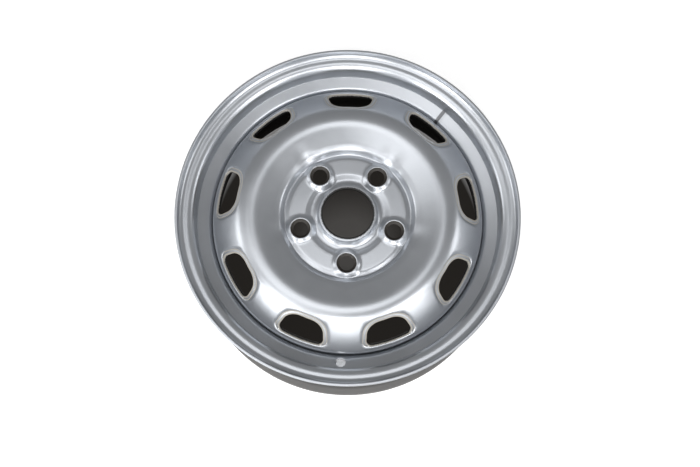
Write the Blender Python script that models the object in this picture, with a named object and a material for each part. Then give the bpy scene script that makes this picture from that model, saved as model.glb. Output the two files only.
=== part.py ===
"""Pressed steel car wheel, 5 1/2 J x 14, without its tyre.

Three kinds of piece: the rolled rim, the pressed disc that carries the hub seat, and the fillet welds
that join them. The wheel lies on its inboard flange with the outboard face up. +Z is the wheel's axis,
and the origin is the centre of the inboard edge. Units are metres.

The disc is made as the press makes it: a flat round blank is laid out with its holes, then each point of
the blank is carried to its place on the pressed section, and the sheet gets its thickness.
"""
import cmath
import math

import bmesh
import bpy
import numpy as np
from mathutils import Matrix, Vector
from mathutils.geometry import delaunay_2d_cdt

MM = 0.001

# Rim, sizes on the tyre side
RIM_WIDTH = 139.7 * MM          # between the two flange faces, 5 1/2 inches
SEAT_RADIUS = 177.4 * MM        # bead seat at the flange face, 14-inch wheel
FLANGE_HEIGHT = 17.3 * MM       # J flange above the bead seat
CURL_RADIUS = 9.5 * MM          # outward roll of the flange
CURL_EDGE = 2.0 * MM            # straight edge after the roll
FLANGE_FOOT_RADIUS = 6.5 * MM   # between the bead seat and the flange
SEAT_TAPER = math.radians(5)
SEAT_WIDTH = 17.0 * MM
HUMP_HEIGHT = 0.9 * MM          # safety hump behind each bead seat
HUMP_WIDTH = 5.0 * MM
WALL_TOP_BEND = 3.4 * MM
WELL_DEPTH = 18.0 * MM          # from the bead seat down to the well floor
WELL_WIDTH = 40.0 * MM
WELL_BEND = 7.0 * MM
OUTER_WALL_DROP = 6.6 * MM      # how far the outboard well wall leans inboard
INNER_WALL_DROP = 14.0 * MM     # the same for the gentler inboard wall
INNER_WALL_BEND = 20.0 * MM
LEDGE_DEPTH = 8.5 * MM          # ledge beside the inboard wall, below the bead seat
LEDGE_RISE = 3.0 * MM
RIM_SHEET = 2.8 * MM
VALVE_HOLE_RADIUS = 5.65 * MM
VALVE_ANGLE = math.radians(269)

# Disc, sizes on the outboard face
DISC_SHEET = 4.0 * MM
OFFSET = 60.0 * MM              # from the rim's middle plane out to the hub mounting face
FIT_GAP = 0.3 * MM              # between pieces that touch
BORE_RADIUS = 28.55 * MM
COLLAR_HEIGHT = 10.0 * MM       # drawn collar above the pads
COLLAR_FOOT_BEND = 8.0 * MM
VALLEY_DEPTH = 1.9 * MM         # ring round the collar, below the pads
VALLEY_RADIUS = 42.5 * MM
VALLEY_BEND = 8.0 * MM
PAD_INNER_RADIUS = 48.5 * MM
PAD_OUTER_RADIUS = 67.0 * MM
PAD_OUTER_BEND = 8.0 * MM
GROOVE_RADIUS = 72.3 * MM       # groove between the pads and the recess wall
GROOVE_DEPTH = 2.6 * MM
GROOVE_BEND = 2.6 * MM
WALL_TOP_RADIUS = 77.0 * MM     # steep wall of the recess
WALL_TOP_HEIGHT = 5.0 * MM      # above the pads
RECESS_BEND = 8.0 * MM
SLOPE_RADIUS = 83.0 * MM        # where the recess wall becomes the crown's inner slope
SLOPE_HEIGHT = 7.9 * MM         # above the pads
SLOPE_BEND = 20.0 * MM
CROWN_RADIUS = 110.0 * MM       # highest ring of the disc
CROWN_HEIGHT = 15.4 * MM        # above the pads
CROWN_BEND = 28.0 * MM
SHOULDER_ANGLE = math.radians(40.3)
SKIRT_BEND = 9.0 * MM
SKIRT_LENGTH = 29.5 * MM        # from the shoulder's corner to the skirt's edge

BOLT_COUNT = 5
BOLT_CIRCLE_RADIUS = 56.0 * MM
BOLT_FIRST_ANGLE = math.radians(54.4)
BOLT_HOLE_RADIUS = 8.2 * MM
SEAT_BALL_RADIUS = 14.3 * MM    # spherical bolt seat
SEAT_MOUTH_RADIUS = 11.4 * MM
BOSS_HEIGHT = 3.0 * MM          # above the pads
BOSS_TOP_RADIUS = 12.6 * MM
BOSS_SLOPE = math.radians(42)
RIDGE_END_RADIUS = 84.0 * MM    # each boss runs out into the recess wall as a ridge
RIDGE_FLAT = 3.0 * MM           # half width of the ridge's crest
RIDGE_SIDE = math.radians(37)
RIDGE_ROUNDING = 4.0 * MM
PRESS_SOFTNESS = 1.6 * MM       # how softly bosses and ridges rise from the sheet

SLOT_COUNT = 9
SLOT_FIRST_ANGLE = math.radians(10.4)
SLOT_OUTER_WIDTH = 54.0 * MM
SLOT_INNER_WIDTH = 37.0 * MM
SLOT_LENGTH = 30.0 * MM         # along the shoulder
SLOT_MARGIN = 2.8 * MM          # from the slot to the start of the skirt's bend
SLOT_OUTER_CORNER = 5.5 * MM
SLOT_INNER_CORNER = 13.0 * MM
COIN_WIDTH = 4.6 * MM           # coined border round each slot
COIN_OUTER_WIDTH = 1.8 * MM     # the same at the slot's outboard edge
COIN_DEPTH = 0.8 * MM

WELD_COUNT = 9
WELD_LEG = 4.5 * MM
WELD_ANGLE = math.radians(21)
WELD_FIRST_ANGLE = math.radians(30.4)
WELD_END_SCALE = 0.5

# Facets
AROUND = 60                     # steps round the rim and the disc's skirt
BEND_STEP = math.radians(36)
FINE_STEP = math.radians(1)
RING_SPACING = 9.0 * MM
FEWEST_AROUND = 40
OUTLINE_SPACING = 15.0 * MM
SLOT_BEND_STEP = math.radians(24)
BOLT_STEPS = 20
BALL_STEPS = 20
VALVE_STEPS = 20
WELD_STEPS = 6

# Places that follow from the sizes
LIP = CURL_RADIUS + CURL_EDGE
INNER_FLANGE_Z = LIP
OUTER_FLANGE_Z = LIP + RIM_WIDTH
FLANGE_RADIUS = SEAT_RADIUS + FLANGE_HEIGHT
SEAT_END_RADIUS = SEAT_RADIUS - SEAT_WIDTH * math.tan(SEAT_TAPER)
HUMP_END = SEAT_WIDTH + HUMP_WIDTH
WELL_RADIUS = SEAT_RADIUS - WELL_DEPTH
WALL_TOP = (SEAT_END_RADIUS - HUMP_HEIGHT, OUTER_FLANGE_Z - HUMP_END)
WALL_FOOT = (WELL_RADIUS, WALL_TOP[1] - OUTER_WALL_DROP)
PAD_Z = LIP + RIM_WIDTH / 2 + OFFSET + DISC_SHEET
BOSS_Z = PAD_Z + BOSS_HEIGHT
COLLAR_RADIUS = BORE_RADIUS + DISC_SHEET
WELL_BORE_RADIUS = WELL_RADIUS - RIM_SHEET
SKIRT_RADIUS = WELL_BORE_RADIUS - FIT_GAP


def clear_scene():
    for thing in list(bpy.data.objects):
        bpy.data.objects.remove(thing, do_unlink=True)


def metal(name, colour, roughness):
    made = bpy.data.materials.new(name)
    made.use_nodes = True
    shader = made.node_tree.nodes["Principled BSDF"]
    shader.inputs["Base Color"].default_value = (*colour, 1)
    shader.inputs["Roughness"].default_value = roughness
    shader.inputs["Metallic"].default_value = 0.8
    return made


def add_object(name, bm, finish):
    mesh = bpy.data.meshes.new(name)
    bm.to_mesh(mesh)
    bm.free()
    mesh.shade_smooth()
    made = bpy.data.objects.new(name, mesh)
    bpy.context.collection.objects.link(made)
    if finish:
        mesh.materials.append(finish)
    return made


def add_cutter(name, bm):
    cutter = add_object(name, bm, None)
    cutter.hide_render = True
    cutter.display_type = "WIRE"
    return cutter


def give_thickness(target, thickness):
    """Thickens a sheet away from the side that its faces point to."""
    modifier = target.modifiers.new("sheet", "SOLIDIFY")
    modifier.thickness = thickness
    modifier.offset = -1
    modifier.use_even_offset = True
    modifier.use_quality_normals = True


def cut(target, cutter):
    modifier = target.modifiers.new(cutter.name, "BOOLEAN")
    modifier.operation = "DIFFERENCE"
    modifier.solver = "EXACT"
    modifier.object = cutter


def rounded(corners, step):
    """A path through corners (x, y, bend radius): its points, and the true distance along it to each."""
    places = [complex(x, y) for x, y, bend in corners]
    points = [places[0]]
    distances = [0.0]
    for i in range(1, len(corners) - 1):
        bend = corners[i][2]
        way_in = places[i] - places[i - 1]
        way_in /= abs(way_in)
        turn = cmath.phase((places[i + 1] - places[i]) / way_in)
        start = places[i] - way_in * bend * math.tan(abs(turn) / 2)
        arm = -1j * way_in * math.copysign(bend, turn)
        steps = math.ceil(abs(turn) / step) if bend else 0
        reached = distances[-1] + abs(start - points[-1])
        for k in range(steps + 1):
            share = k / steps if steps else 0
            points.append(start - arm + arm * cmath.exp(1j * turn * share))
            distances.append(reached + bend * abs(turn) * share)
    distances.append(distances[-1] + abs(places[-1] - points[-1]))
    points.append(places[-1])
    return [(point.real, point.imag) for point in points], distances


def filled_in(points, spacing):
    """A closed outline with its long straight edges divided."""
    outline = []
    for (x0, y0), (x1, y1) in zip(points, points[1:]):
        pieces = max(1, math.ceil(math.hypot(x1 - x0, y1 - y0) / spacing))
        outline += [(x0 + (x1 - x0) * k / pieces, y0 + (y1 - y0) * k / pieces) for k in range(pieces)]
    return outline


# Rim

def flange_corners():
    """Half of the rim's section, from the edge to behind the hump: radius, height above the flange, bend."""
    return [
        (FLANGE_RADIUS, LIP, 0),
        (FLANGE_RADIUS, 0, CURL_RADIUS),
        (SEAT_RADIUS, 0, FLANGE_FOOT_RADIUS),
        (SEAT_END_RADIUS, -SEAT_WIDTH, 0),
        (SEAT_END_RADIUS + HUMP_HEIGHT, -SEAT_WIDTH - HUMP_WIDTH / 2, 0),
    ]


def rim_section():
    outboard = [(radius, OUTER_FLANGE_Z + height, bend) for radius, height, bend in flange_corners()]
    inboard = [(radius, INNER_FLANGE_Z - height, bend) for radius, height, bend in reversed(flange_corners())]
    ledge_radius = SEAT_RADIUS - LEDGE_DEPTH
    inner_wall_z = WALL_FOOT[1] - WELL_WIDTH
    well = [
        (*WALL_TOP, WALL_TOP_BEND),
        (*WALL_FOOT, WELL_BEND),
        (WELL_RADIUS, inner_wall_z, INNER_WALL_BEND),
        (ledge_radius, inner_wall_z - INNER_WALL_DROP, INNER_WALL_BEND),
        (ledge_radius + LEDGE_RISE, INNER_FLANGE_Z + HUMP_END + HUMP_WIDTH, 0),
        (SEAT_END_RADIUS - HUMP_HEIGHT / 2, INNER_FLANGE_Z + HUMP_END, 0),
    ]
    points, distances = rounded(outboard + well + inboard, BEND_STEP)
    return points


def valve_hole_cutter():
    """A round punch that stands square on the middle of the outboard well wall."""
    wall = Vector((WALL_FOOT[0] - WALL_TOP[0], 0, WALL_FOOT[1] - WALL_TOP[1]))
    middle = Vector((WALL_FOOT[0] + WALL_TOP[0], 0, WALL_FOOT[1] + WALL_TOP[1])) / 2
    square = Vector((-wall.z, 0, wall.x)).normalized()
    bm = bmesh.new()
    bmesh.ops.create_cone(bm, cap_ends=True, segments=VALVE_STEPS, radius1=VALVE_HOLE_RADIUS,
                          radius2=VALVE_HOLE_RADIUS, depth=8 * RIM_SHEET)
    place = (Matrix.Rotation(VALVE_ANGLE, 4, "Z") @ Matrix.Translation(middle)
             @ square.to_track_quat("Z", "Y").to_matrix().to_4x4())
    bmesh.ops.transform(bm, matrix=place, verts=bm.verts)
    return add_cutter("valve_hole_punch", bm)


def make_rim(finish):
    bm = bmesh.new()
    corners = [bm.verts.new((radius, 0, z)) for radius, z in rim_section()]
    edges = [bm.edges.new(pair) for pair in zip(corners, corners[1:])]
    bmesh.ops.spin(bm, geom=corners + edges, axis=(0, 0, 1), cent=(0, 0, 0), angle=math.tau,
                   steps=AROUND, use_merge=True)
    rim = add_object("rim", bm, finish)
    give_thickness(rim, RIM_SHEET)
    cut(rim, valve_hole_cutter())


# Disc

def crown_corner():
    """Where the crown's inner slope and its shoulder would meet if the crown had no bend."""
    slope_z = PAD_Z + SLOPE_HEIGHT
    centre_z = PAD_Z + CROWN_HEIGHT - CROWN_BEND
    reach = math.hypot(CROWN_RADIUS - SLOPE_RADIUS, centre_z - slope_z)
    inner_angle = math.atan2(centre_z - slope_z, CROWN_RADIUS - SLOPE_RADIUS) + math.asin(CROWN_BEND / reach)
    out = CROWN_BEND / math.cos((inner_angle + SHOULDER_ANGLE) / 2)
    lean = (inner_angle - SHOULDER_ANGLE) / 2
    return CROWN_RADIUS - out * math.sin(lean), centre_z + out * math.cos(lean)


def disc_corners():
    crown_r, crown_z = crown_corner()
    skirt_z = crown_z - (SKIRT_RADIUS - crown_r) * math.tan(SHOULDER_ANGLE)
    return [
        (COLLAR_RADIUS, PAD_Z + COLLAR_HEIGHT, 0),
        (COLLAR_RADIUS, PAD_Z - VALLEY_DEPTH, COLLAR_FOOT_BEND),
        (VALLEY_RADIUS, PAD_Z - VALLEY_DEPTH, VALLEY_BEND),
        (PAD_INNER_RADIUS, PAD_Z, VALLEY_BEND),
        (PAD_OUTER_RADIUS, PAD_Z, PAD_OUTER_BEND),
        (GROOVE_RADIUS, PAD_Z - GROOVE_DEPTH, GROOVE_BEND),
        (WALL_TOP_RADIUS, PAD_Z + WALL_TOP_HEIGHT, RECESS_BEND),
        (SLOPE_RADIUS, PAD_Z + SLOPE_HEIGHT, SLOPE_BEND),
        (crown_r, crown_z, CROWN_BEND),
        (SKIRT_RADIUS, skirt_z, SKIRT_BEND),
        (SKIRT_RADIUS, skirt_z - SKIRT_LENGTH, 0),
    ]


class PressedSection:
    """The disc's section, read by the distance along the sheet from the collar's edge."""

    def __init__(self):
        self.stations, self.station_distances = rounded(disc_corners(), BEND_STEP)
        points, self.distances = rounded(disc_corners(), FINE_STEP)
        self.radii = [radius for radius, z in points]
        self.heights = [z for radius, z in points]
        self.length = self.distances[-1]
        bend_turn = math.pi / 2 - SHOULDER_ANGLE
        self.slot_edge = (self.length - SKIRT_LENGTH + SKIRT_BEND * math.tan(bend_turn / 2)
                          - SKIRT_BEND * bend_turn - SLOT_MARGIN)

    def radius(self, distance):
        return float(np.interp(distance, self.distances, self.radii))

    def height(self, distance):
        return float(np.interp(distance, self.distances, self.heights))

    def distance(self, radius):
        return float(np.interp(radius, self.radii, self.distances))

    def height_at_radius(self, radius):
        return self.height(self.distance(radius))


def softly_higher(first, second, softness):
    share = min(1, max(0, 0.5 + 0.5 * (first - second) / softness))
    return second + (first - second) * share + softness * share * (1 - share)


def bolt_angles():
    return [BOLT_FIRST_ANGLE + math.tau * k / BOLT_COUNT for k in range(BOLT_COUNT)]


def pressed_height(x, y, height, section):
    """Height of the sheet at a place in plan, with the bosses and ridges that the press raises."""
    radius = math.hypot(x, y)
    nearest = min(bolt_angles(), key=lambda angle: -math.cos(math.atan2(y, x) - angle))
    along = x * math.cos(nearest) + y * math.sin(nearest)
    across = abs(y * math.cos(nearest) - x * math.sin(nearest))
    from_bolt = math.hypot(along - BOLT_CIRCLE_RADIUS, across)
    if from_bolt < BOSS_TOP_RADIUS * 1.001:
        return BOSS_Z
    ridge_start = BOLT_CIRCLE_RADIUS + BOSS_TOP_RADIUS
    ridge_end_z = section.height_at_radius(RIDGE_END_RADIUS)
    climb = (ridge_end_z - BOSS_Z) / (RIDGE_END_RADIUS - ridge_start)
    crest = BOSS_Z + climb * (radius - ridge_start)
    crest = min(crest, ridge_end_z - abs(climb) * (radius - RIDGE_END_RADIUS))
    aside = max(0, across - RIDGE_FLAT)
    side_drop = (math.hypot(aside, RIDGE_ROUNDING) - RIDGE_ROUNDING) * math.tan(RIDGE_SIDE)
    boss = BOSS_Z - (from_bolt - BOSS_TOP_RADIUS) * math.tan(BOSS_SLOPE)
    if radius > COLLAR_RADIUS + DISC_SHEET:
        height = softly_higher(height, boss, PRESS_SOFTNESS)
    if radius > ridge_start:
        height = softly_higher(height, crest - side_drop, PRESS_SOFTNESS)
    return height


def slot_outline(grow, grow_outward):
    """Outline of a slot on the flat sheet: x across, y along the sheet from the slot's outer edge."""
    lean = (SLOT_OUTER_WIDTH - SLOT_INNER_WIDTH) / 2 / SLOT_LENGTH
    side = grow * math.hypot(1, lean)
    top = grow_outward
    foot = -SLOT_LENGTH - grow
    top_half = SLOT_OUTER_WIDTH / 2 + lean * top + side
    foot_half = SLOT_OUTER_WIDTH / 2 + lean * foot + side
    corners = [
        (0, top, 0),
        (-top_half, top, SLOT_OUTER_CORNER + grow_outward),
        (-foot_half, foot, SLOT_INNER_CORNER + grow),
        (foot_half, foot, SLOT_INNER_CORNER + grow),
        (top_half, top, SLOT_OUTER_CORNER + grow_outward),
        (0, top, 0),
    ]
    points, distances = rounded(corners, SLOT_BEND_STEP)
    return filled_in(points, OUTLINE_SPACING)


def slot_loop(section, angle, grow, grow_outward):
    """A slot's outline as places on the blank: distance along the section, and angle."""
    loop = []
    for across, along in slot_outline(grow, grow_outward):
        distance = section.slot_edge + along
        loop.append((distance, angle + across / section.radius(distance)))
    return loop


def round_loop(section, angle, radius, steps):
    """A circle round a bolt's axis as places on the blank."""
    loop = []
    for k in range(steps):
        turn = math.tau * k / steps
        x = BOLT_CIRCLE_RADIUS + radius * math.cos(turn)
        y = radius * math.sin(turn)
        loop.append((section.distance(math.hypot(x, y)), angle + math.atan2(y, x)))
    return loop


def ring_angles(radius):
    """Angles for one ring of the blank, closer together where the ridges cross it."""
    in_ridges = BOLT_CIRCLE_RADIUS + BOSS_TOP_RADIUS < radius < RIDGE_END_RADIUS * 1.02
    if not in_ridges:
        if radius > CROWN_RADIUS:
            count = AROUND
        else:
            count = max(FEWEST_AROUND, round(math.tau * radius / RING_SPACING))
        return [math.tau * k / count for k in range(count)]
    offsets = [RIDGE_FLAT / radius, (RIDGE_FLAT + 1.2 * RIDGE_ROUNDING) / radius,
               (RIDGE_FLAT + 2.6 * RIDGE_ROUNDING) / radius]
    gap = math.tau / BOLT_COUNT - 2 * offsets[-1]
    pieces = max(2, round(gap * radius / RING_SPACING))
    angles = []
    for bolt in bolt_angles():
        angles += [bolt - offset for offset in reversed(offsets)] + [bolt + offset for offset in offsets]
        angles += [bolt + offsets[-1] + gap * k / pieces for k in range(1, pieces)]
    return angles


class Blank:
    """The flat sheet: places, the lines between them, and the holes."""

    def __init__(self, section):
        self.section = section
        self.places = []
        self.lines = []
        self.sink = []
        self.start = COLLAR_RADIUS

    def flat(self, distance, angle):
        reach = (self.start + distance) / MM
        return Vector((reach * math.cos(angle), reach * math.sin(angle)))

    def add_loop(self, loop, sink=0.0, keep=None):
        """Adds a closed loop. Where keep says no, its place and the lines to it are left out."""
        numbers = []
        for distance, angle in loop:
            if keep and not keep(distance, angle):
                numbers.append(None)
                continue
            numbers.append(len(self.places))
            self.places.append((distance, angle))
            self.sink.append(sink)
        for a, b in zip(numbers, numbers[1:] + numbers[:1]):
            if a is not None and b is not None:
                self.lines.append((a, b))

    def triangles(self, in_hole):
        flat_places = [self.flat(distance, angle) for distance, angle in self.places]
        found = delaunay_2d_cdt(flat_places, self.lines, [], 0, 1e-6)
        assert len(found[0]) == len(flat_places), "two lines of the blank cross"
        origins = [source[0] for source in found[3]]
        for face in found[2]:
            middle = sum((found[0][i] for i in face), Vector((0, 0))) / len(face)
            if not in_hole(middle):
                yield [origins[i] for i in face]


def inside(point, outline):
    """Whether a flat point lies inside a closed outline."""
    crossings = 0
    for a, b in zip(outline, outline[1:] + outline[:1]):
        if (a.y > point.y) != (b.y > point.y):
            if point.x < a.x + (point.y - a.y) * (b.x - a.x) / (b.y - a.y):
                crossings += 1
    return crossings % 2 == 1


def lay_out_blank(section):
    blank = Blank(section)
    slots = [SLOT_FIRST_ANGLE + math.tau * k / SLOT_COUNT for k in range(SLOT_COUNT)]
    coin_loops = [slot_loop(section, angle, COIN_WIDTH, COIN_OUTER_WIDTH) for angle in slots]
    slot_loops = [slot_loop(section, angle, 0, 0) for angle in slots]
    boss_foot = BOSS_TOP_RADIUS + BOSS_HEIGHT / math.tan(BOSS_SLOPE) + PRESS_SOFTNESS / 2
    bolt_loops = [round_loop(section, angle, BOLT_HOLE_RADIUS, BOLT_STEPS) for angle in bolt_angles()]
    holes = [[blank.flat(*place) for place in loop] for loop in slot_loops + bolt_loops]
    borders = [slot_loop(section, angle, 1.4 * COIN_WIDTH, 1.2 * COIN_OUTER_WIDTH) for angle in slots]
    borders = [[blank.flat(*place) for place in loop] for loop in borders]

    def clear(distance, angle):
        radius = section.radius(distance)
        for bolt in bolt_angles():
            across = radius * math.sin(angle - bolt)
            along = radius * math.cos(angle - bolt) - BOLT_CIRCLE_RADIUS
            if math.hypot(across, along) < boss_foot + PRESS_SOFTNESS:
                return False
        return not any(inside(blank.flat(distance, angle), border) for border in borders)

    for (radius, z), distance in zip(section.stations, section.station_distances):
        blank.add_loop([(distance, angle) for angle in ring_angles(radius)], keep=clear)
    for coin, slot in zip(coin_loops, slot_loops):
        blank.add_loop(coin)
        blank.add_loop(slot, sink=COIN_DEPTH)
    for angle, hole in zip(bolt_angles(), bolt_loops):
        blank.add_loop(round_loop(section, angle, boss_foot, BOLT_STEPS))
        blank.add_loop(round_loop(section, angle, BOSS_TOP_RADIUS, BOLT_STEPS))
        blank.add_loop(hole)

    def in_hole(point):
        if point.length * MM < blank.start * math.cos(math.pi / FEWEST_AROUND) * 0.999:
            return True
        return any(inside(point, hole) for hole in holes)

    return blank, in_hole


def press(blank, section):
    """Carries each place of the blank to its place on the pressed sheet."""
    pressed = []
    for (distance, angle), sink in zip(blank.places, blank.sink):
        radius = section.radius(distance)
        lean = SHOULDER_ANGLE if sink else 0
        radius -= sink * math.sin(lean)
        x = radius * math.cos(angle)
        y = radius * math.sin(angle)
        height = pressed_height(x, y, section.height(distance), section) - sink * math.cos(lean)
        pressed.append((x, y, height))
    return pressed


def seat_cutters():
    """Balls that press the spherical seats into the bosses."""
    cutters = []
    for k, angle in enumerate(bolt_angles(), 1):
        bm = bmesh.new()
        bmesh.ops.create_uvsphere(bm, u_segments=BALL_STEPS, v_segments=BALL_STEPS, radius=SEAT_BALL_RADIUS)
        centre = Vector((BOLT_CIRCLE_RADIUS * math.cos(angle), BOLT_CIRCLE_RADIUS * math.sin(angle),
                         BOSS_Z + math.sqrt(SEAT_BALL_RADIUS ** 2 - SEAT_MOUTH_RADIUS ** 2)))
        bmesh.ops.translate(bm, verts=bm.verts, vec=centre)
        cutters.append(add_cutter(f"seat_ball_{k}", bm))
    return cutters


def make_disc(finish):
    section = PressedSection()
    blank, in_hole = lay_out_blank(section)
    bm = bmesh.new()
    corners = [bm.verts.new(place) for place in press(blank, section)]
    for triangle in blank.triangles(in_hole):
        bm.faces.new([corners[i] for i in triangle])
    disc = add_object("wheel_disc", bm, finish)
    give_thickness(disc, DISC_SHEET)
    for cutter in seat_cutters():
        cut(disc, cutter)


# Welds

def weld_section():
    """Section of a fillet weld from its root: the two legs and a slightly full face, as (radius, height)."""
    full = 0.62 * WELD_LEG
    return [(0, 0), (0, -WELD_LEG), (-full, -full), (-WELD_LEG, 0)]


def make_weld(name, middle_angle, finish):
    root_radius = WELL_BORE_RADIUS - FIT_GAP
    root_z = disc_corners()[-1][1] - FIT_GAP
    bm = bmesh.new()
    sections = []
    for k in range(WELD_STEPS + 1):
        angle = middle_angle + WELD_ANGLE * (k / WELD_STEPS - 0.5)
        scale = WELD_END_SCALE if k in (0, WELD_STEPS) else 1
        sections.append([bm.verts.new(((root_radius + radius * scale) * math.cos(angle),
                                       (root_radius + radius * scale) * math.sin(angle),
                                       root_z + height * scale)) for radius, height in weld_section()])
    for near, far in zip(sections, sections[1:]):
        for a, b, c, d in zip(near, near[1:] + near[:1], far[1:] + far[:1], far):
            bm.faces.new((a, b, c, d))
    bm.faces.new(sections[0])
    bm.faces.new(reversed(sections[-1]))
    bmesh.ops.recalc_face_normals(bm, faces=bm.faces)
    add_object(name, bm, finish)


def main():
    clear_scene()
    silver = metal("silver wheel paint", (0.44, 0.45, 0.47), 0.38)
    weld_metal = metal("painted weld", (0.30, 0.30, 0.31), 0.5)
    make_rim(silver)
    make_disc(silver)
    for k in range(WELD_COUNT):
        make_weld(f"weld_bead_{k + 1}", WELD_FIRST_ANGLE + math.tau * k / WELD_COUNT, weld_metal)


main()
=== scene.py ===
"""A pressed steel car wheel without its tyre, lying on its inboard flange.

The rim is a rolled hoop and the disc is one pressed sheet. Lengths are in millimetres until a mesh is
finished, and +Z is the wheel's axis.
"""
import cmath
import math

import bmesh
import bpy
from mathutils import Euler, Matrix, Vector


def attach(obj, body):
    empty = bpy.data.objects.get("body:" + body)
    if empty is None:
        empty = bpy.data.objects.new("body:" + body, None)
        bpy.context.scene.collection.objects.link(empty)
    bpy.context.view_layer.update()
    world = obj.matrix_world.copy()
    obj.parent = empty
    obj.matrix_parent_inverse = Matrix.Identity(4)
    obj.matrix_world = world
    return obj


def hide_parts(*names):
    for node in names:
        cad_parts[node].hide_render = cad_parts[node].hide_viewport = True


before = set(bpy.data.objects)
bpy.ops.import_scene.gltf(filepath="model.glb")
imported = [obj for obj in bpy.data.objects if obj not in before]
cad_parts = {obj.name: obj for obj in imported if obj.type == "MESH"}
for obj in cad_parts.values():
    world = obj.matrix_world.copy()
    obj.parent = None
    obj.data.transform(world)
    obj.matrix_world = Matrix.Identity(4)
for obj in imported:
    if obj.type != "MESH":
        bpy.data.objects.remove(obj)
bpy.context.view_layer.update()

MM = 0.001

# Rim section on the tyre side, as in the solids
OUTER_FLANGE_Z = 151.2          # the flanges' faces
INNER_FLANGE_Z = 11.5
FLANGE_RADIUS = 194.7
FLANGE_CURL = 11.5              # depth of each flange's outward roll, with its straight edge
FLANGE_CURL_BEND = 9.5
FLANGE_FOOT_BEND = 6.5
SEAT_RADIUS = 177.4
SEAT_END_RADIUS = 175.913       # the bead seat tapers down to this
SEAT_WIDTH = 17.0
SEAT_END_BEND = 1.5
HUMP_HEIGHT = 0.9               # safety hump behind each bead seat
HUMP_CREST = 19.5               # from the flange's face
HUMP_BEND = 2.0
WALL_TOP = (175.013, 129.2)     # radius and z, as in the other corners of the well
WALL_TOP_BEND = 3.4
WALL_FOOT = (159.4, 122.6)
WALL_FOOT_BEND = 7.0
WELL_END_Z = 82.6
LEDGE_START = (168.9, 68.6)
WELL_END_BEND = 20.0
LEDGE_END = (171.9, 38.5)
LEDGE_BEND = 4.0
LEDGE_STEP = (175.46, 33.5)
LEDGE_STEP_BEND = 2.0
RIM_SHEET = 2.8
WELL_BORE_RADIUS = 156.6

VALVE_ANGLE = math.radians(269)
VALVE_HOLE_RADIUS = 5.65
VALVE_EDGE = 0.8                # narrow ring of mesh round the hole

SEAM_ANGLE = math.radians(50.5)  # where the hoop's two ends are butt welded
SEAM_SINK = 0.8

# Disc section on the outboard face, close to the solids
PAD_Z = 145.35
DISC_SHEET = 4.0
COLLAR_RADIUS = 32.55
COLLAR_HEIGHT = 10.0            # heights and depths in this list count from the pads
COLLAR_FOOT_END = 41.0          # the collar's foot bend ends inside this radius
VALLEY_RADIUS = 42.5
VALLEY_DEPTH = 1.9
PAD_INNER_RADIUS = 48.5
PAD_OUTER_RADIUS = 67.0
GROOVE_RADIUS = 72.3
GROOVE_DEPTH = 2.2
GROOVE_BEND = 1.8
RECESS_WALL_RADIUS = 77.0
RECESS_WALL_HEIGHT = 5.0
PRESS_BEND = 8.0                # every bend from the collar out to the recess wall, but for the groove's
SLOPE_CORNER = (83.0, 153.25)   # radius and z, at the foot of the crown's inner slope
SLOPE_BEND = 20.0
CROWN_RADIUS = 110.0
CROWN_Z = 160.75
CROWN_BEND = 28.0
SHOULDER_ANGLE = math.radians(40.3)
SKIRT_RADIUS = 156.3
SKIRT_BEND = 9.0
SKIRT_LENGTH = 29.5

BOLT_COUNT = 5
BOLT_CIRCLE_RADIUS = 56.0
BOLT_FIRST_ANGLE = math.radians(54.4)
BOLT_HOLE_RADIUS = 8.2
SEAT_BALL_RADIUS = 14.3         # spherical bolt seat
SEAT_MOUTH_RADIUS = 11.4
SEAT_MOUTH_SOFTNESS = 0.35
BOSS_Z = 148.35
BOSS_TOP_RADIUS = 12.6
BOSS_SLOPE = math.radians(42)
PRESS_SOFTNESS = 1.6            # how softly a boss rises from the sheet
WRENCH_ROOM = 3.2               # how far the recess wall is pushed outward at each bolt
WRENCH_ROOM_REACH = 18.0        # to each side of the bolt
WRENCH_ROOM_SHARES = [(73.0, 0), (82.0, 1), (85.0, 1), (100.0, 0)]  # of the push, by radius

SLOT_COUNT = 9
SLOT_FIRST_ANGLE = math.radians(10.4)
SLOT_OUTER_WIDTH = 57.0
SLOT_INNER_WIDTH = 40.0
SLOT_LENGTH = 30.0
SLOT_MARGIN = 2.8               # from the slot to the start of the skirt's bend
SLOT_OUTER_CORNER = 6.0
SLOT_INNER_CORNER = 20.0
COIN_WIDTH = 5.6                # flattened border at a slot's sides and inner edge
COIN_OUTER_WIDTH = 1.8
COIN_DEPTH = 0.6
COIN_STEP = 1.2                 # width of the step down into the border
HOLE_EDGE = 0.8                 # narrow ring of mesh round each slot
HOLE_OUTER_EDGE = 0.45

WELD_COUNT = 9
WELD_ANGLE = math.radians(21)
WELD_FIRST_ANGLE = math.radians(30.4)
WELD_LEG = 4.5
WELD_FULLNESS = 0.9             # below 1 the bead's face stands out, as a laid bead does
WELD_RIPPLE = 1.9               # length of one ripple
WELD_RIPPLE_SHARE = 0.07        # how far a ripple stands out, as a share of the leg
WELD_BODY_SHARE = 0.9           # the bead's size between two ripples
WELD_END_SHARE = 0.1            # of half the bead, over which it tapers off
WELD_TIP_SHARE = 0.12           # the bead's size at its very ends
FIT_GAP = 0.3

# How far each coat, with the shade painted into it, and the seam show on the hoop, as (height, share)
PRIMER_AND_SHADE_SHOWS = [(-1, 1), (104, 1), (122, 0), (200, 0)]
DULL_COAT_AND_SHADE_SHOWS = [(-1, 1), (45, 1), (60, 0.5), (105, 0.5), (125, 1), (159, 1), (162, 0), (200, 0)]
SEAM_SHOWS = [(-1, 0.3), (118, 0.3), (122, 1), (131, 1), (134, 0.1), (200, 0.1)]  # ground off on the seats

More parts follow.
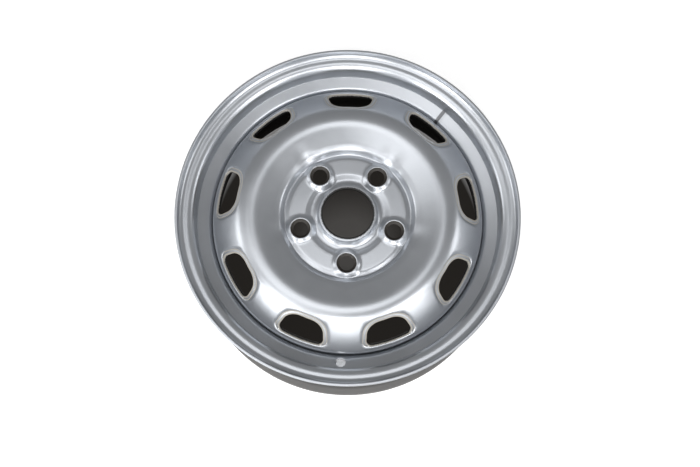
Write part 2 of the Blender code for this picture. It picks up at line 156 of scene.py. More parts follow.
# Mesh fineness
BEND_STEP = math.radians(6)
RIM_AROUND = 240
RIM_SPACING = 4.5
DISC_AROUND = 270
DISC_SPACING = 2.9
SLOT_SPACING = 1.5
CORNER_CROWDING = 0.45          # draws a slot's points towards its corners
BOLT_RINGS = [14.2, 13.2, 12.6, 12.2, 11.8, 11.5, 11.2, 10.9, 10.4, 9.7, 8.9, BOLT_HOLE_RADIUS]
BOLT_APPROACH = 6               # steps of mesh from the patch's edge in to the first of these rings
WELD_STEPS = 96
WELD_ARC_STEPS = 8
SEAM_GATHER = math.radians(12)  # columns of the hoop within this of the seam close up on it
SEAM_CROWDING = 1.7
SEAM_COLUMNS = 0.13             # share of that reach which the seam takes: its column and both neighbours
EDGE_SEGMENTS = 2
EDGE_ANGLE = math.radians(50)   # edges sharper than this are rounded
RIM_EDGE = 0.45                 # widths of that rounding
DISC_EDGE = 0.4

# Patches of mesh that make way for a hole: half width in columns, then the radii
VALVE_WINDOW = (2.6, -7.4, 6.6)  # radii from the middle of the wall
VALVE_WINDOW_Z = 110.0          # the patch lies above this
SLOT_WINDOW = (12.6, 119.5, 153.2)
BOLT_WINDOW = (15.6, 39.5, 71.2)

# Real sizes behind the paint's patterns
CLOUD_SIZE = 35.714             # clouds in the metal flake
SPECKLE_SIZE = 1.1111           # spatter where one coat ends on another
PEEL_SIZE = 2.381               # orange peel
WELD_GRAIN_SIZE = 1.4286

# Stage, in metres
# Painted on the floor: a pool of light under the bore and a shadow under the rest of the wheel
PAINTED_BORE_LIGHT = (0.03, 0.08)        # the floor darkens from the middle of the bore outward
PAINTED_SHADOW_UNDER_WHEEL = (0.17, 0.19)       # and is pale again from under the hoop on
FLOOR_HALF_WIDTH = 40
LAMP_DISTANCE = 4.0
LAMP_SIZE = 1.7
LAMP_AIM = Vector((0, 0, 0.1))
CAMERA_PLACE = (0.00325, -0.26657, 1.21825)
CAMERA_LEAN = math.radians(12.871)
CAMERA_ROLL = math.radians(1.7455)
CAMERA_LENS = 49.78


def linear(hex_colour):
    """sRGB hex to linear RGBA."""
    channels = [int(hex_colour[i:i + 2], 16) / 255 for i in (1, 3, 5)]
    return (*[c / 12.92 if c <= 0.04045 else ((c + 0.055) / 1.055) ** 2.4 for c in channels], 1)


# Sections

def rounded(corners, step, spacing):
    """Points of a path through corners (x, y, bend radius), with long straights divided."""
    places = [complex(x, y) for x, y, bend in corners]
    bends = [[places[0]]]
    for i in range(1, len(corners) - 1):
        bend = corners[i][2]
        way_in = places[i] - places[i - 1]
        way_in /= abs(way_in)
        turn = cmath.phase((places[i + 1] - places[i]) / way_in)
        start = places[i] - way_in * bend * math.tan(abs(turn) / 2)
        arm = -1j * way_in * math.copysign(bend, turn)
        steps = max(math.ceil(abs(turn) / step), math.ceil(abs(turn) * bend / spacing)) if bend else 0
        bends.append([start - arm + arm * cmath.exp(1j * turn * k / max(steps, 1)) for k in range(steps + 1)])
    bends.append([places[-1]])
    points = []
    for bend, following in zip(bends, bends[1:]):
        points += bend
        pieces = max(1, math.ceil(abs(following[0] - bend[-1]) / spacing))
        points += [bend[-1] + (following[0] - bend[-1]) * k / pieces for k in range(1, pieces)]
    points.append(places[-1])
    return [(point.real, point.imag) for point in points]


def between(x, table):
    """Linear reading of a table of (x, y) with rising x."""
    for (x0, y0), (x1, y1) in zip(table, table[1:]):
        if x <= x1:
            return y0 + (y1 - y0) * (x - x0) / (x1 - x0)
    return table[-1][1]


def flange_corners():
    """From the edge of the outward roll to the safety hump, with heights from the flange's face."""
    return [
        (FLANGE_RADIUS, FLANGE_CURL, 0),
        (FLANGE_RADIUS, 0, FLANGE_CURL_BEND),
        (SEAT_RADIUS, 0, FLANGE_FOOT_BEND),
        (SEAT_END_RADIUS, -SEAT_WIDTH, SEAT_END_BEND),
        (SEAT_END_RADIUS + HUMP_HEIGHT, -HUMP_CREST, HUMP_BEND),
    ]


def rim_section():
    """The hoop's tyre side, from the outboard flange to the inboard one."""
    outboard = [(radius, OUTER_FLANGE_Z + height, bend) for radius, height, bend in flange_corners()]
    inboard = [(radius, INNER_FLANGE_Z - height, bend) for radius, height, bend in reversed(flange_corners())]
    well = [
        (*WALL_TOP, WALL_TOP_BEND),
        (*WALL_FOOT, WALL_FOOT_BEND),
        (WALL_FOOT[0], WELL_END_Z, WELL_END_BEND),
        (*LEDGE_START, WELL_END_BEND),
        (*LEDGE_END, LEDGE_BEND),
        (*LEDGE_STEP, LEDGE_STEP_BEND),
    ]
    return rounded(outboard + well + inboard, BEND_STEP, RIM_SPACING)


def crown_corner():
    """Where the crown's inner slope and its shoulder would meet if the crown had no bend."""
    centre_z = CROWN_Z - CROWN_BEND
    slope_r, slope_z = SLOPE_CORNER
    reach = math.hypot(CROWN_RADIUS - slope_r, centre_z - slope_z)
    inner_angle = math.atan2(centre_z - slope_z, CROWN_RADIUS - slope_r) + math.asin(CROWN_BEND / reach)
    out = CROWN_BEND / math.cos((inner_angle + SHOULDER_ANGLE) / 2)
    lean = (inner_angle - SHOULDER_ANGLE) / 2
    return CROWN_RADIUS - out * math.sin(lean), centre_z + out * math.cos(lean)


def disc_section():
    """The disc's outboard face, from the collar's top to the skirt's edge."""
    crown_r, crown_z = crown_corner()
    skirt_z = crown_z - (SKIRT_RADIUS - crown_r) * math.tan(SHOULDER_ANGLE)
    corners = [
        (COLLAR_RADIUS, PAD_Z + COLLAR_HEIGHT, 0),
        (COLLAR_RADIUS, PAD_Z - VALLEY_DEPTH, PRESS_BEND),
        (VALLEY_RADIUS, PAD_Z - VALLEY_DEPTH, PRESS_BEND),
        (PAD_INNER_RADIUS, PAD_Z, PRESS_BEND),
        (PAD_OUTER_RADIUS, PAD_Z, PRESS_BEND),
        (GROOVE_RADIUS, PAD_Z - GROOVE_DEPTH, GROOVE_BEND),
        (RECESS_WALL_RADIUS, PAD_Z + RECESS_WALL_HEIGHT, PRESS_BEND),
        (*SLOPE_CORNER, SLOPE_BEND),
        (crown_r, crown_z, CROWN_BEND),
        (SKIRT_RADIUS, skirt_z, SKIRT_BEND),
        (SKIRT_RADIUS, skirt_z - SKIRT_LENGTH, 0),
    ]
    return rounded(corners, BEND_STEP, DISC_SPACING)


DISC_SECTION = disc_section()
FACE_SECTION = [point for point in DISC_SECTION if COLLAR_RADIUS + 0.01 < point[0] < SKIRT_RADIUS - 0.01]


# Meshes

def finish_piece(name, bm, material, nodes, bevel=0.0):
    """Turns a bmesh in millimetres into a piece of the wheel that stands for nodes of the solids."""
    bmesh.ops.scale(bm, vec=(MM, MM, MM), verts=bm.verts)
    mesh = bpy.data.meshes.new(name)
    bm.to_mesh(mesh)
    bm.free()
    mesh.shade_smooth()
    mesh.materials.append(material)
    piece = bpy.data.objects.new(name, mesh)
    bpy.context.collection.objects.link(piece)
    if bevel:
        modifier = piece.modifiers.new("edges", "BEVEL")
        modifier.width = bevel * MM
        modifier.segments = EDGE_SEGMENTS
        modifier.limit_method = "ANGLE"
        modifier.angle_limit = EDGE_ANGLE
        modifier.harden_normals = False
    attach(piece, "root")
    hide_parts(*nodes)
    return piece


def spun(section, steps):
    """A surface of revolution from a section of (radius, z)."""
    bm = bmesh.new()
    verts = [bm.verts.new((radius, 0, z)) for radius, z in section]
    edges = [bm.edges.new(pair) for pair in zip(verts, verts[1:])]
    bmesh.ops.spin(bm, geom=verts + edges, axis=(0, 0, 1), cent=(0, 0, 0), angle=math.tau,
                   steps=steps, use_merge=True)
    return bm


def give_thickness(bm, thickness):
    """Makes a sheet into a closed shell, and gives the points of the side that lies behind its faces."""
    bm.normal_update()
    normals = {tuple(vert.co): vert.normal.copy() for vert in bm.verts}
    made = bmesh.ops.extrude_face_region(bm, geom=bm.faces[:], use_keep_orig=True)
    behind = [item for item in made["geom"] if isinstance(item, bmesh.types.BMVert)]
    for vert in behind:
        vert.co -= normals[tuple(vert.co)] * thickness
    bmesh.ops.recalc_face_normals(bm, faces=bm.faces)
    return behind


def turned(x, y, angle):
    """A place in plan, turned round the wheel's axis."""
    return x * math.cos(angle) - y * math.sin(angle), x * math.sin(angle) + y * math.cos(angle)


def open_window(bm, angle, half_angle, inner, outer, above=0.0):
    """Takes a patch of faces out of a spun sheet. Gives the ring round it, and its sides' edge counts."""
    patch = []
    for face in bm.faces:
        middle = face.calc_center_median()
        radius = math.hypot(middle.x, middle.y)
        aside = math.remainder(math.atan2(middle.y, middle.x) - angle, math.tau)
        if inner < radius < outer and abs(aside) < half_angle and middle.z > above:
            patch.append(face)
    edge_uses = {}
    for face in patch:
        for edge in face.edges:
            edge_uses[edge] = edge_uses.get(edge, 0) + 1
    places = {}
    for edge, uses in edge_uses.items():
        if uses == 1:
            for vert in edge.verts:
                aside = math.remainder(math.atan2(vert.co.y, vert.co.x) - angle, math.tau)
                places[vert] = (math.hypot(vert.co.x, vert.co.y), aside)
    bmesh.ops.delete(bm, geom=patch, context="FACES")
    far, near = max(place[0] for place in places.values()), min(place[0] for place in places.values())
    left, right = max(place[1] for place in places.values()), min(place[1] for place in places.values())
    sides = [
        sorted([vert for vert in places if places[vert][0] > far - 0.01], key=lambda vert: places[vert][1]),
        sorted([vert for vert in places if places[vert][1] > left - 1e-4], key=lambda vert: -places[vert][0]),
        sorted([vert for vert in places if places[vert][0] < near + 0.01], key=lambda vert: -places[vert][1]),
        sorted([vert for vert in places if places[vert][1] < right + 1e-4], key=lambda vert: places[vert][0]),
    ]
    return [vert for side in sides for vert in side[:-1]], [len(side) - 1 for side in sides]


def draw_in(bm, ring, points, steps):
    """Extrudes a ring of edges inwards, in equal steps, to its new places."""
    starts = [vert.co.copy() for vert in ring]
    for step in range(1, steps + 1):
        edges = [bm.edges.get(pair) for pair in zip(ring, ring[1:] + ring[:1])]
        made = bmesh.ops.extrude_edge_only(bm, edges=edges)["geom"]
        copies = {tuple(item.co): item for item in made if isinstance(item, bmesh.types.BMVert)}
        ring = [copies[tuple(vert.co)] for vert in ring]
        for vert, start, end in zip(ring, starts, points):
            vert.co = start.lerp(Vector(end), step / steps)
    return ring


def ring_shares(sides, crowding):
    """Shares of the way round a ring, a quarter to each side, closer together at the four corners."""
    shares = []
    for number, side in enumerate(sides):
        for k in range(side):
            t = k / side
            shares.append((number + t - crowding * math.sin(math.tau * t) / math.tau) / 4)
    return shares


def round_ring(sides, radius):
    """Places on a circle, as (outward, sideways)."""
    turns = [math.tau * (share - 0.125) for share in ring_shares(sides, 0)]
    return [(radius * math.cos(turn), radius * math.sin(turn)) for turn in turns]


# Disc

SLOT_EDGE_RADIUS = SKIRT_RADIUS - (SKIRT_BEND * math.tan((math.pi / 2 - SHOULDER_ANGLE) / 2)
                                   + SLOT_MARGIN) * math.cos(SHOULDER_ANGLE)


def slot_ring(grow, grow_outward, sides):
    """A slot's outline in plan, as (radius, angle), grown at its sides and inner edge, and outward."""
    lean = (SLOT_OUTER_WIDTH - SLOT_INNER_WIDTH) / 2 / SLOT_LENGTH
    side = grow * math.hypot(1, lean)
    foot = -SLOT_LENGTH - grow
    outer_half = SLOT_OUTER_WIDTH / 2 + lean * grow_outward + side
    inner_half = SLOT_OUTER_WIDTH / 2 + lean * foot + side
    corners = [
        (0, grow_outward, 0),
        (outer_half, grow_outward, SLOT_OUTER_CORNER + grow_outward),
        (inner_half, foot, SLOT_INNER_CORNER + grow),
        (-inner_half, foot, SLOT_INNER_CORNER + grow),
        (-outer_half, grow_outward, SLOT_OUTER_CORNER + grow_outward),
        (0, grow_outward, 0),
    ]
    path = rounded(corners, BEND_STEP, SLOT_SPACING)
    reached = [(0.0, 0)]
    for k in range(1, len(path)):
        reached.append((reached[-1][0] + math.dist(path[k - 1], path[k]), k))
    whole = reached[-1][0]
    marks = []
    for x, y, bend in corners[1:5]:
        nearest = min(range(len(path)), key=lambda k: math.dist(path[k], (x, y)))
        marks.append(reached[nearest][0])
    marks = [marks[3] - whole] + marks
    table = [(k / 4, mark) for k, mark in enumerate(marks)]
    places = []
    for share in ring_shares(sides, CORNER_CROWDING):
        distance = between(share, table) % whole
        place = between(distance, reached)
        k = min(int(place), len(path) - 2)
        across, along = [a + (b - a) * (place - k) for a, b in zip(path[k], path[k + 1])]
        radius = SLOT_EDGE_RADIUS + along * math.cos(SHOULDER_ANGLE)
        places.append((radius, across / radius))
    return places


def softly_higher(first, second, softness):
    """The higher of two heights, with a rounded change from one to the other."""
    share = min(1, max(0, 0.5 + 0.5 * (first - second) / softness))
    return second + (first - second) * share + softness * share * (1 - share)


BOLT_ANGLES = [BOLT_FIRST_ANGLE + math.tau * k / BOLT_COUNT for k in range(BOLT_COUNT)]


def bolt_place(x, y):
    """A place seen from its nearest bolt: how far to the side, and the distance from the bolt's axis."""
    nearest = min(BOLT_ANGLES, key=lambda angle: -math.cos(math.atan2(y, x) - angle))
    along, across = turned(x, y, -nearest)
    return abs(across), math.hypot(along - BOLT_CIRCLE_RADIUS, across)


def pressed_height(x, y):
    """Height of the outboard face at a place in plan, with its bosses and the room for a wheel wrench."""
    radius = math.hypot(x, y)
    across, from_bolt = bolt_place(x, y)
    if from_bolt <= BOSS_TOP_RADIUS:
        return BOSS_Z
    if radius > WRENCH_ROOM_SHARES[0][0]:
        push = WRENCH_ROOM * max(0, math.cos(math.pi / 2 * min(1, across / WRENCH_ROOM_REACH))) ** 2
        return between(radius - push * between(radius, WRENCH_ROOM_SHARES), FACE_SECTION)
    boss = BOSS_Z - (from_bolt - BOSS_TOP_RADIUS) * math.tan(BOSS_SLOPE)
    return softly_higher(between(radius, FACE_SECTION), boss, PRESS_SOFTNESS)


def seat_depth(from_bolt):
    """How deep the spherical bolt seat lies below the top of its boss."""
    ball_rise = math.sqrt(SEAT_BALL_RADIUS ** 2 - SEAT_MOUTH_RADIUS ** 2)
    ball = math.sqrt(SEAT_BALL_RADIUS ** 2 - min(from_bolt, SEAT_BALL_RADIUS) ** 2) - ball_rise
    return softly_higher(ball, 0, SEAT_MOUTH_SOFTNESS)


def cut_slots(bm):
    """Opens the slots in the shoulder. Gives how deep each point of their borders is coined."""
    column = math.tau / DISC_AROUND
    half_columns, inner, outer = SLOT_WINDOW
    borders = [
        # width at the sides and inside, width outside, depth, steps of mesh
        (COIN_WIDTH, COIN_OUTER_WIDTH, 0, 4),
        (COIN_WIDTH - COIN_STEP / 2, COIN_OUTER_WIDTH - COIN_STEP / 2, COIN_DEPTH / 2, 1),
        (COIN_WIDTH - COIN_STEP, COIN_OUTER_WIDTH - COIN_STEP, COIN_DEPTH, 1),
        (HOLE_EDGE, HOLE_OUTER_EDGE, COIN_DEPTH, 2),
        (0, 0, COIN_DEPTH, 1),
    ]
    sink = {}
    for k in range(SLOT_COUNT):
        angle = SLOT_FIRST_ANGLE + math.tau * k / SLOT_COUNT
        angle_on_grid = round(angle / column) * column
        ring, sides = open_window(bm, angle_on_grid, half_columns * column, inner, outer)
        for grow, grow_outward, depth, steps in borders:
            points = []
            for radius, aside in slot_ring(grow, grow_outward, sides):
                points.append((radius * math.cos(angle + aside), radius * math.sin(angle + aside), PAD_Z))
            ring = draw_in(bm, ring, points, steps)
            for vert in ring:
                sink[vert] = depth
    return sink


def cut_bolt_holes(bm):
    """Opens the bolt holes in the pads, with rings of mesh round them for the bosses and seats."""
    column = math.tau / DISC_AROUND
    half_columns, inner, outer = BOLT_WINDOW
    for angle in BOLT_ANGLES:
        angle_on_grid = round(angle / column) * column
        ring, sides = open_window(bm, angle_on_grid, half_columns * column, inner, outer)
        steps = BOLT_APPROACH
        for ring_radius in BOLT_RINGS:
            points = []
            for along, across in round_ring(sides, ring_radius):
                points.append((*turned(BOLT_CIRCLE_RADIUS + along, across, angle), PAD_Z))
            ring = draw_in(bm, ring, points, steps)
            steps = 1


def press(bm, sink):
    """Gives the face its bosses and its room for the wrench, and sinks the slots' coined borders."""
    for vert in bm.verts:
        x, y, z = vert.co
        radius = math.hypot(x, y)
        if COLLAR_RADIUS + 0.2 < radius < SKIRT_RADIUS - 0.05:
            depth = sink.get(vert, 0)
            on_collar = radius < COLLAR_FOOT_END and z > PAD_Z
            if not on_collar:
                vert.co.z = pressed_height(x, y) - depth * math.cos(SHOULDER_ANGLE)
            vert.co.x -= x / radius * depth * math.sin(SHOULDER_ANGLE)
            vert.co.y -= y / radius * depth * math.sin(SHOULDER_ANGLE)


def make_disc(material):
    bm = spun(DISC_SECTION, DISC_AROUND)
    coined, bare_and_shaded_seat, primer_and_shade = [bm.verts.layers.float.new(name) for name in ("coined", "bare_and_shaded_seat", "primer_and_shade")]
    sink = cut_slots(bm)
    cut_bolt_holes(bm)
    press(bm, sink)
    bmesh.ops.recalc_face_normals(bm, faces=bm.faces)
    if sum(face.normal.z for face in bm.faces) < 0:
        bmesh.ops.reverse_faces(bm, faces=bm.faces)
    outboard = list(bm.verts)
    for vert, depth in sink.items():
        vert[coined] = 1 if depth == COIN_DEPTH else 0
    # the disc's inboard side is near black: primer, and painted shade inside the wheel
    for vert in give_thickness(bm, DISC_SHEET):
        vert[coined] = 0
        vert[primer_and_shade] = 1
    for vert in outboard:
        from_bolt = bolt_place(vert.co.x, vert.co.y)[1]
        vert.co.z -= seat_depth(from_bolt)
        # the bolt seats are unpainted metal, darkened further as painted shade
        vert[bare_and_shaded_seat] = 1 if from_bolt < SEAT_MOUTH_RADIUS - 0.1 else 0
    return finish_piece("wheel_disc_pressing", bm, material, ["wheel_disc"], DISC_EDGE)


# Rim

def cut_valve_hole(bm, column):
    """Opens the valve hole in the outboard wall, at a right angle to it."""
    slope = math.atan2(WALL_TOP[1] - WALL_FOOT[1], WALL_TOP[0] - WALL_FOOT[0])
    middle_radius = (WALL_TOP[0] + WALL_FOOT[0]) / 2
    middle_z = (WALL_TOP[1] + WALL_FOOT[1]) / 2
    half_columns, inward, outward = VALVE_WINDOW
    angle_on_grid = SEAM_ANGLE + (round((VALVE_ANGLE - SEAM_ANGLE) / column) + 0.5) * column
    ring, sides = open_window(bm, angle_on_grid, half_columns * column, middle_radius + inward,
                              middle_radius + outward, VALVE_WINDOW_Z)
    for ring_radius, steps in ((VALVE_HOLE_RADIUS + VALVE_EDGE, 2), (VALVE_HOLE_RADIUS, 1)):
        points = []
        for along, across in round_ring(sides, ring_radius):
            radius = middle_radius + along * math.cos(slope)
            angle = VALVE_ANGLE + across / radius
            height = middle_z + along * math.sin(slope)
            points.append((radius * math.cos(angle), radius * math.sin(angle), height))
        ring = draw_in(bm, ring, points, steps)


def close_up_on_seam(bm, inner_side, seam):
    """Draws the columns near the butt weld together and sinks those on it into a shallow dent."""
    for vert in bm.verts:
        radius = math.hypot(vert.co.x, vert.co.y)
        aside = math.remainder(math.atan2(vert.co.y, vert.co.x) - SEAM_ANGLE, math.tau)
        share = abs(aside) / SEAM_GATHER
        if share < 0.999:
            angle = SEAM_ANGLE + math.copysign(share ** SEAM_CROWDING, aside) * SEAM_GATHER
            if share < SEAM_COLUMNS:
                vert[seam] = between(vert.co.z, SEAM_SHOWS)
                radius += vert[seam] * (SEAM_SINK if vert in inner_side else -SEAM_SINK)
            vert.co.x = radius * math.cos(angle)
            vert.co.y = radius * math.sin(angle)


def make_rim(material):
    bm = spun(rim_section(), RIM_AROUND)
    primer_and_shade, seam, dull_coat_and_shade = [bm.verts.layers.float.new(name) for name in ("primer_and_shade", "seam", "dull_coat_and_shade")]
    column = math.tau / RIM_AROUND
    bmesh.ops.rotate(bm, verts=bm.verts, cent=(0, 0, 0),
                     matrix=Matrix.Rotation(math.remainder(SEAM_ANGLE, column), 3, "Z"))
    cut_valve_hole(bm, column)
    bmesh.ops.recalc_face_normals(bm, faces=bm.faces)
    if sum(face.normal.x * face.calc_center_median().x for face in bm.faces) < 0:
        bmesh.ops.reverse_faces(bm, faces=bm.faces)
    tyre_side = list(bm.verts)
    inner_side = give_thickness(bm, RIM_SHEET)
    # the inner side below the disc is near black: primer, and painted shade inside the wheel
    for vert in inner_side:
        vert[primer_and_shade] = between(vert.co.z, PRIMER_AND_SHADE_SHOWS)
    # the tyre side is darkened as painted shade, half as much in the well
    for vert in tyre_side:
        vert[dull_coat_and_shade] = between(vert.co.z, DULL_COAT_AND_SHADE_SHOWS)
    close_up_on_seam(bm, set(inner_side), seam)
    return finish_piece("rim_hoop", bm, material, ["rim"], RIM_EDGE)


# Welds

def make_weld(number, middle_angle, material):
    """A fillet weld bead with its ripples, between the skirt's edge and the well."""
    root_radius = WELL_BORE_RADIUS - FIT_GAP
    root_z = min(z for radius, z in DISC_SECTION) - FIT_GAP
    face_line = []
    for k in range(WELD_ARC_STEPS + 1):
        swing = math.cos(math.pi * k / WELD_ARC_STEPS) / 2
        across, down = [WELD_LEG * share ** WELD_FULLNESS for share in (0.5 - swing, 0.5 + swing)]
        face_line.append((-across, -down))
    bm = bmesh.new()
    verts = [bm.verts.new((root_radius + x, 0, root_z + y)) for x, y in [(0, 0)] + face_line]
    face = bm.faces.new(verts)
    bmesh.ops.spin(bm, geom=[face], axis=(0, 0, 1), cent=(0, 0, 0), angle=WELD_ANGLE, steps=WELD_STEPS)
    start = Matrix.Rotation(middle_angle - WELD_ANGLE / 2, 3, "Z")
    bmesh.ops.rotate(bm, verts=bm.verts, cent=(0, 0, 0), matrix=start)
    for vert in bm.verts:
        radius = math.hypot(vert.co.x, vert.co.y)
        aside = math.remainder(math.atan2(vert.co.y, vert.co.x) - middle_angle, math.tau)
        share = abs(aside) / (WELD_ANGLE / 2)
        past_full = max(0, (share - 1 + WELD_END_SHARE) / WELD_END_SHARE)
        end = math.sqrt(max(0, 1 - past_full ** 2))
        ripple = abs(math.sin(aside * root_radius / WELD_RIPPLE * math.pi))
        scale = max(WELD_TIP_SHARE, end) * (WELD_BODY_SHARE + WELD_RIPPLE_SHARE * ripple)
        new_radius = root_radius + (radius - root_radius) * scale
        vert.co.x *= new_radius / radius
        vert.co.y *= new_radius / radius
        vert.co.z = root_z + (vert.co.z - root_z) * scale
    bmesh.ops.recalc_face_normals(bm, faces=bm.faces)
    return finish_piece(f"weld_run_{number}", bm, material, [f"weld_bead_{number}"])


# Materials

def add_node(tree, kind, settings=None, links=None):
    """Adds a node, sets its properties and socket values, and links sockets into it."""
    node = tree.nodes.new(kind)
    for name, value in (settings or {}).items():
        if isinstance(name, str) and hasattr(node, name):
            setattr(node, name, value)
        else:
            node.inputs[name].default_value = value
    for name, source in (links or {}).items():
        tree.links.new(source, node.inputs[name])
    return node


def pattern_scale(size):
    """The scale of a noise whose spots are this many millimetres across."""
    return 1 / (size * MM)


def new_material(name):
    material = bpy.data.materials.new(name)
    material.use_nodes = True
    tree = material.node_tree
    tree.nodes.clear()
    output = tree.nodes.new("ShaderNodeOutputMaterial")
    return material, tree, output


def mixed(tree, factor, under, over):
    """One colour over another, where the factor is 1."""
    mix = add_node(tree, "ShaderNodeMix", {"data_type": "RGBA"}, {"Factor": factor})
    under_socket, over_socket, result = mix.inputs[6], mix.inputs[7], mix.outputs[2]
    for socket, colour in ((under_socket, under), (over_socket, over)):
        if isinstance(colour, str):
            socket.default_value = linear(colour)
        else:
            tree.links.new(colour, socket)
    return result


def zone(tree, name, noise, raggedness):
    """Where an attribute marks a finish, painted shade included, with an edge as uneven as sprayed or worn
    paint.
    """
    mark = add_node(tree, "ShaderNodeAttribute", {"attribute_name": name})
    shaken = add_node(tree, "ShaderNodeMath",
                      {"operation": "MULTIPLY_ADD", 1: raggedness, 2: 0.5 - raggedness / 2}, {0: noise})
    uneven = add_node(tree, "ShaderNodeMath", {"operation": "SUBTRACT"},
                      {0: mark.outputs["Fac"], 1: shaken.outputs[0]})
    return add_node(tree, "ShaderNodeMapRange", {"From Min": -0.12, "From Max": 0.12},
                    {"Value": uneven.outputs[0]}).outputs["Result"]


def silver_wheel_paint():
    """Satin silver enamel over dark dip primer.

    Fine metal flakes give it a broad soft gloss with faint clouds. The hoop's tyre side is darker and duller,
    half as much in the well, and its dark colour is painted shade. The inboard sides are near black, for the
    primer and as painted shade inside the wheel. The coined slot borders took the paint flat, and the bolt
    seats are unpainted metal, painted darker still as their shade.
    """
    material, tree, output = new_material("satin_silver_wheel_enamel")
    place = add_node(tree, "ShaderNodeTexCoord").outputs["Object"]
    clouds = add_node(tree, "ShaderNodeTexNoise",
                      {"Scale": pattern_scale(CLOUD_SIZE), "Detail": 4.0, "Roughness": 0.55},
                      {"Vector": place})
    speckle = add_node(tree, "ShaderNodeTexNoise", {"Scale": pattern_scale(SPECKLE_SIZE), "Detail": 2.0},
                       {"Vector": place}).outputs["Fac"]
    primer_and_shade = zone(tree, "primer_and_shade", speckle, 0.7)
    coined = zone(tree, "coined", speckle, 0.15)
    bare_and_shaded_seat = zone(tree, "bare_and_shaded_seat", speckle, 0.3)
    dull_coat_and_shade = zone(tree, "dull_coat_and_shade", speckle, 0.3)
    seam = zone(tree, "seam", speckle, 0.1)
    colour = mixed(tree, clouds.outputs["Fac"], "#b3b7bc", "#c3c6cb")
    colour = mixed(tree, coined, colour, "#a9a59d")
    # unpainted seat metal, darkened further as painted shade
    colour = mixed(tree, bare_and_shaded_seat, colour, "#2e2a26")
    # painted shade on the hoop's tyre side
    colour = mixed(tree, dull_coat_and_shade, colour, "#555453")
    colour = mixed(tree, seam, colour, "#6f7073")
    # near-black primer, which also paints the shade inside the wheel
    colour = mixed(tree, primer_and_shade, colour, "#161514")
    dulled = coined
    for other in (dull_coat_and_shade, bare_and_shaded_seat, primer_and_shade):
        dulled = add_node(tree, "ShaderNodeMath", {"operation": "MAXIMUM"}, {0: dulled, 1: other}).outputs[0]
    metallic = add_node(tree, "ShaderNodeMapRange", {"To Min": 0.85, "To Max": 0.1}, {"Value": dulled})
    rough = add_node(tree, "ShaderNodeMapRange", {"To Min": 0.26, "To Max": 0.48}, {"Value": dulled})
    rough = add_node(tree, "ShaderNodeMath", {"operation": "MULTIPLY_ADD", 1: 0.09},
                     {0: clouds.outputs["Fac"], 2: rough.outputs["Result"]})
    peel = add_node(tree, "ShaderNodeTexNoise", {"Scale": pattern_scale(PEEL_SIZE), "Detail": 2.0},
                    {"Vector": place})
    bump = add_node(tree, "ShaderNodeBump", {"Strength": 0.12, "Distance": 0.0002},
                    {"Height": peel.outputs["Fac"]})
    shader = add_node(tree, "ShaderNodeBsdfPrincipled", None,
                      {"Base Color": colour, "Metallic": metallic.outputs["Result"],
                       "Roughness": rough.outputs[0], "Normal": bump.outputs["Normal"]})
    tree.links.new(shader.outputs[0], output.inputs["Surface"])
    return material


def painted_weld():
    """Steel weld metal under the same silver enamel: grainy, and duller than the rolled sheet."""
    material, tree, output = new_material("painted_weld_metal")
    place = add_node(tree, "ShaderNodeTexCoord").outputs["Object"]
    grain = add_node(tree, "ShaderNodeTexNoise", {"Scale": pattern_scale(WELD_GRAIN_SIZE), "Detail": 3.0},
                     {"Vector": place})
    bump = add_node(tree, "ShaderNodeBump", {"Strength": 0.3, "Distance": 0.0003},
                    {"Height": grain.outputs["Fac"]})
    shader = add_node(tree, "ShaderNodeBsdfPrincipled",
                      {"Base Color": linear("#8f9092"), "Metallic": 0.6, "Roughness": 0.5},
                      {"Normal": bump.outputs["Normal"]})
    tree.links.new(shader.outputs[0], output.inputs["Surface"])
    return material


# Stage

def pale_floor():
    """White matt board with a painted shadow under the wheel, which its openings show, lighter under the bore
    as a painted pool of light.

    A faint glow of its own, which only the camera and reflections see, keeps the board white far from the
    lamps.
    """
    material, tree, output = new_material("pale_floor")
    place = add_node(tree, "ShaderNodeTexCoord").outputs["Object"]
    reach = add_node(tree, "ShaderNodeVectorMath", {"operation": "LENGTH"}, {0: place}).outputs["Value"]
    past_bore_light = add_node(tree, "ShaderNodeMapRange", {"From Min": PAINTED_BORE_LIGHT[0], "From Max": PAINTED_BORE_LIGHT[1]},
                    {"Value": reach})
    past_painted_shadow = add_node(tree, "ShaderNodeMapRange", {"From Min": PAINTED_SHADOW_UNDER_WHEEL[0], "From Max": PAINTED_SHADOW_UNDER_WHEEL[1]},
                      {"Value": reach})
    # painted shadow under the wheel, lighter under the bore as a painted pool of light
    shade = mixed(tree, past_bore_light.outputs["Result"], "#5c5a58", "#35322f")
    colour = mixed(tree, past_painted_shadow.outputs["Result"], shade, "#f4f4f4")
    matt = add_node(tree, "ShaderNodeBsdfDiffuse", None, {"Color": colour})
    glow = add_node(tree, "ShaderNodeEmission", {"Strength": 0.42}, {"Color": colour})
    rays = add_node(tree, "ShaderNodeLightPath")
    seen = rays.outputs["Is Camera Ray"]
    for ray in ("Is Glossy Ray", "Is Transmission Ray"):
        higher = add_node(tree, "ShaderNodeMath", {"operation": "MAXIMUM"}, {0: seen, 1: rays.outputs[ray]})
        seen = higher.outputs[0]
    lit = add_node(tree, "ShaderNodeAddShader", None, {0: matt.outputs[0], 1: glow.outputs[0]})
    shown = add_node(tree, "ShaderNodeMixShader", None, {0: seen, 1: matt.outputs[0], 2: lit.outputs[0]})
    tree.links.new(shown.outputs[0], output.inputs["Surface"])
    return material


def make_floor():
    bm = bmesh.new()
    bmesh.ops.create_grid(bm, x_segments=1, y_segments=1, size=FLOOR_HALF_WIDTH)
    mesh = bpy.data.meshes.new("floor")
    bm.to_mesh(mesh)
    bm.free()
    mesh.materials.append(pale_floor())
    floor = bpy.data.objects.new("floor", mesh)
    bpy.context.collection.objects.link(floor)


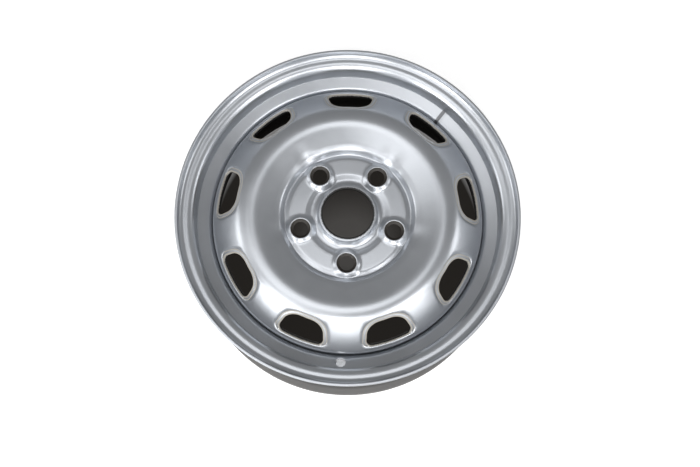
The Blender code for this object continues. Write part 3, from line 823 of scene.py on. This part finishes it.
def make_studio_light():
    """Even white light from all sides, under the lamps."""
    world = bpy.data.worlds.new("studio")
    world.use_nodes = True
    bpy.context.scene.world = world
    tree = world.node_tree
    tree.nodes.clear()
    backdrop = add_node(tree, "ShaderNodeBackground", {"Color": (1, 1, 1, 1), "Strength": 0.26})
    output = tree.nodes.new("ShaderNodeOutputWorld")
    tree.links.new(backdrop.outputs[0], output.inputs["Surface"])


LAMPS = [
    # name, lean from overhead and bearing in degrees, power in watts
    ("overhead", 0, 0, 15),
    ("overhead_left", 22, 180, 9),
    ("overhead_front_left", 22, -135, 9),
    ("left", 46, 180, 6),
    ("front_left", 46, -135, 22),
    ("front", 46, -90, 42),
    ("front_right", 46, -45, 36),
    ("low_left", 70, 180, 19),
    ("low_front_left", 70, -135, 49),
    ("low_front", 70, -90, 25),
    ("low_front_right", 70, -45, 23),
    ("low_right", 70, 0, 17),
]


def add_lamps():
    """Round soft boxes, all at one distance from the wheel."""
    for name, lean, bearing, power in LAMPS:
        lamp = bpy.data.lights.new(name, "AREA")
        lamp.shape = "DISK"
        lamp.size = LAMP_SIZE
        lamp.energy = power
        holder = bpy.data.objects.new(name, lamp)
        bpy.context.collection.objects.link(holder)
        turn = Euler((0, math.radians(lean), math.radians(bearing)))
        holder.location = LAMP_AIM + turn.to_matrix() @ Vector((0, 0, LAMP_DISTANCE))
        holder.rotation_euler = turn


def add_camera():
    """Stands where the photograph was taken: nearly overhead, leaning 13 degrees towards the viewer."""
    camera = bpy.data.cameras.new("camera")
    camera.lens = CAMERA_LENS
    camera.sensor_width = 36
    holder = bpy.data.objects.new("camera", camera)
    bpy.context.collection.objects.link(holder)
    holder.location = CAMERA_PLACE
    turn = Euler((CAMERA_LEAN, 0, 0)).to_matrix() @ Matrix.Rotation(CAMERA_ROLL, 3, "Z")
    holder.rotation_euler = turn.to_euler()
    bpy.context.scene.camera = holder


def main():
    silver = silver_wheel_paint()
    weld = painted_weld()
    make_rim(silver)
    make_disc(silver)
    for k in range(WELD_COUNT):
        make_weld(k + 1, WELD_FIRST_ANGLE + math.tau * k / WELD_COUNT, weld)
    make_floor()
    make_studio_light()
    add_lamps()
    add_camera()
    bpy.context.scene.view_settings.view_transform = "Standard"


main()
